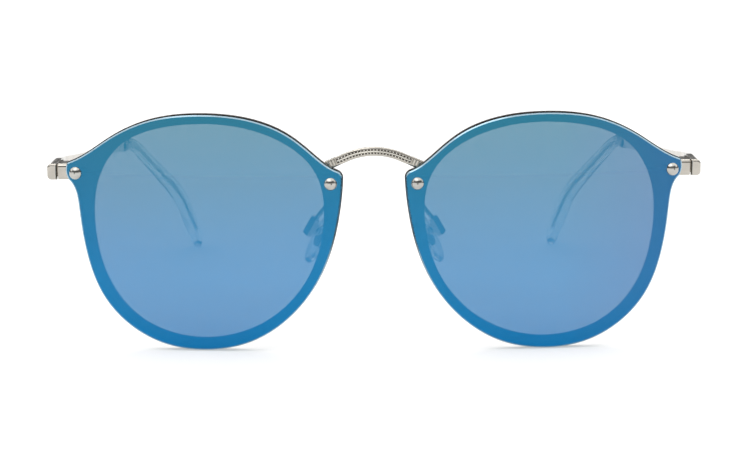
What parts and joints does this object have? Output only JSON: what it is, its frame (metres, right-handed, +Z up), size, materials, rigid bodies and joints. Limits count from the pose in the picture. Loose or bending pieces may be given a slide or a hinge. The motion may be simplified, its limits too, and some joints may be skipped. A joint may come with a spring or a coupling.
{
  "type": "sunglasses",
  "caption": "Round sunglasses with flat-mounted blue mirrored lenses on a thin metal rim, milgrain wire bridge, rocking nose pads and folding temples with clear tips.",
  "frame": {"origin": "on the floor under the middle of the open glasses, which stand on the lower edges of the rims and on the tips of the temples", "axes": "+Z up, +X to the wearer's left, the lenses face -Y and the temples reach back along +Y"},
  "size_m": [0.1422, 0.1326, 0.0516],
  "materials": {
    "mirror_lens": "blue mirror coating, polished",
    "frame_metal": "polished silver plating",
    "screw_steel": "polished",
    "clear_tip": "clear, polished",
    "clear_silicone": "clear, satin",
    "insert_plastic": "moulded, natural"
  },
  "bodies": {
    "front": {"bridge": "frame_metal", "lens_screws": "screw_steel", "lens_bushes": "insert_plastic", "lens_nuts": "screw_steel", "lens_left": "mirror_lens", "lens_right": "mirror_lens", "rim_left": "frame_metal", "rim_right": "frame_metal", "end_piece_left": "frame_metal", "end_piece_right": "frame_metal", "hinge_front_left": "frame_metal", "hinge_front_right": "frame_metal", "hinge_screw_left": "screw_steel", "hinge_screw_right": "screw_steel", "pad_arm_left": "frame_metal", "pad_arm_right": "frame_metal", "pad_box_left": "frame_metal", "pad_box_right": "frame_metal", "pad_screw_left": "screw_steel", "pad_screw_right": "screw_steel"},
    "temple_left": {"temple_left": "frame_metal", "temple_tip_left": "clear_tip", "hinge_temple_left": "frame_metal"},
    "nose_pad_left": {"nose_pad_left": "clear_silicone", "pad_insert_left": "insert_plastic"},
    "temple_right": {"temple_right": "frame_metal", "temple_tip_right": "clear_tip", "hinge_temple_right": "frame_metal"},
    "nose_pad_right": {"nose_pad_right": "clear_silicone", "pad_insert_right": "insert_plastic"}
  },
  "joints": [
    {"name": "temple_left_fold", "type": "hinge", "parent": "front", "child": "temple_left", "pos_m": [0.0672, -0.0526, 0.0384], "axis": [0, 0, 1], "range_deg": [0, 80]},
    {"name": "temple_right_fold", "type": "hinge", "parent": "front", "child": "temple_right", "pos_m": [-0.0672, -0.0526, 0.0384], "axis": [0, 0, -1], "range_deg": [0, 76]},
    {"name": "nose_pad_left_rock", "type": "hinge", "parent": "front", "child": "nose_pad_left", "pos_m": [0.01255, -0.0548, 0.0251], "axis": [-0.3641, -0.9073, -0.2102], "range_deg": [-12, 12]},
    {"name": "nose_pad_right_rock", "type": "hinge", "parent": "front", "child": "nose_pad_right", "pos_m": [-0.01255, -0.0548, 0.0251], "axis": [0.3641, -0.9073, -0.2102], "range_deg": [-12, 12]}
  ]
}
